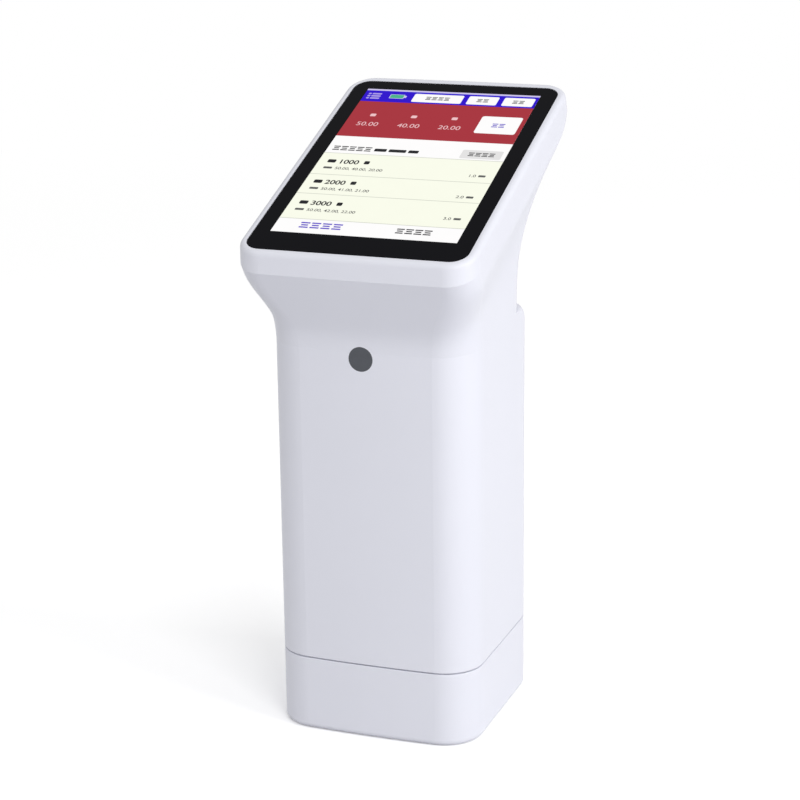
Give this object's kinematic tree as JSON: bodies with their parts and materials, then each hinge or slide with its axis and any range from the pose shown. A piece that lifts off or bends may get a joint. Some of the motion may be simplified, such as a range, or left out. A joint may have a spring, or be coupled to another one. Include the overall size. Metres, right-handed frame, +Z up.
{
  "type": "color difference meter",
  "caption": "Hand-held color difference meter with a tilted touch screen on a flared neck, standing in its lift-off calibration base.",
  "frame": {"origin": "centre of the underside of the calibration base", "axes": "+Z up, -Y towards the user and the low edge of the screen, +X the user's right"},
  "size_m": [0.062, 0.0873, 0.1611],
  "materials": {
    "white_plastic": "satin white moulded plastic",
    "black_plastic": "fine matte",
    "black_rubber": "soft matte foam",
    "white_ceramic": "glazed ceramic, drawn as a gloss surface",
    "nickel": "nickel plated",
    "dark_badge": "plain dark grey disc",
    "screen_glass": "black bordered cover glass over the lit display",
    "display": "display module",
    "circuit_board": "green solder mask",
    "steel": "plain steel",
    "black_aluminium": "black anodised",
    "optical_glass": "clear polished",
    "lamp_plastic": "clear cast lamp bodies",
    "battery_wrap": "shrink wrap"
  },
  "bodies": {
    "base": {"calibration_base": "white_plastic", "tile_cushion": "black_rubber", "calibration_tile": "white_ceramic", "tile_ring": "black_plastic", "base_magnets": "nickel"},
    "meter": {"main_housing": "white_plastic", "front_badge": "dark_badge", "head_bezel": "white_plastic", "glass_tape": "black_rubber", "touch_glass": "screen_glass", "display_panel": "display", "display_tray": "black_plastic", "main_board": "circuit_board", "board_screws": "steel", "radio_module": "steel", "processor_shield": "steel", "buzzer": "black_plastic", "foot_plate": "black_plastic", "foot_screws": "steel", "foot_magnets": "nickel", "port_ring": "black_aluminium", "port_window": "optical_glass", "optical_block": "black_aluminium", "lamps": "lamp_plastic", "lamp_board": "circuit_board", "collecting_lens": "optical_glass", "lens_ring": "black_aluminium", "sensor_board": "circuit_board", "color_sensor": "black_plastic", "battery_tray": "black_plastic", "battery_pack": "battery_wrap", "charge_board": "circuit_board", "charge_socket": "steel", "button_switch": "black_plastic", "button_board": "circuit_board"},
    "button": {"power_button": "white_plastic"}
  },
  "joints": [
    {"name": "base_lift", "type": "slide", "parent": "base", "child": "meter", "axis": [0, 0, 1], "range_m": [0, 0.04]},
    {"name": "power_press", "type": "slide", "parent": "meter", "child": "button", "axis": [0, -1, 0], "range_m": [0, 0.0005], "stiffness_N_per_m": 3000}
  ]
}
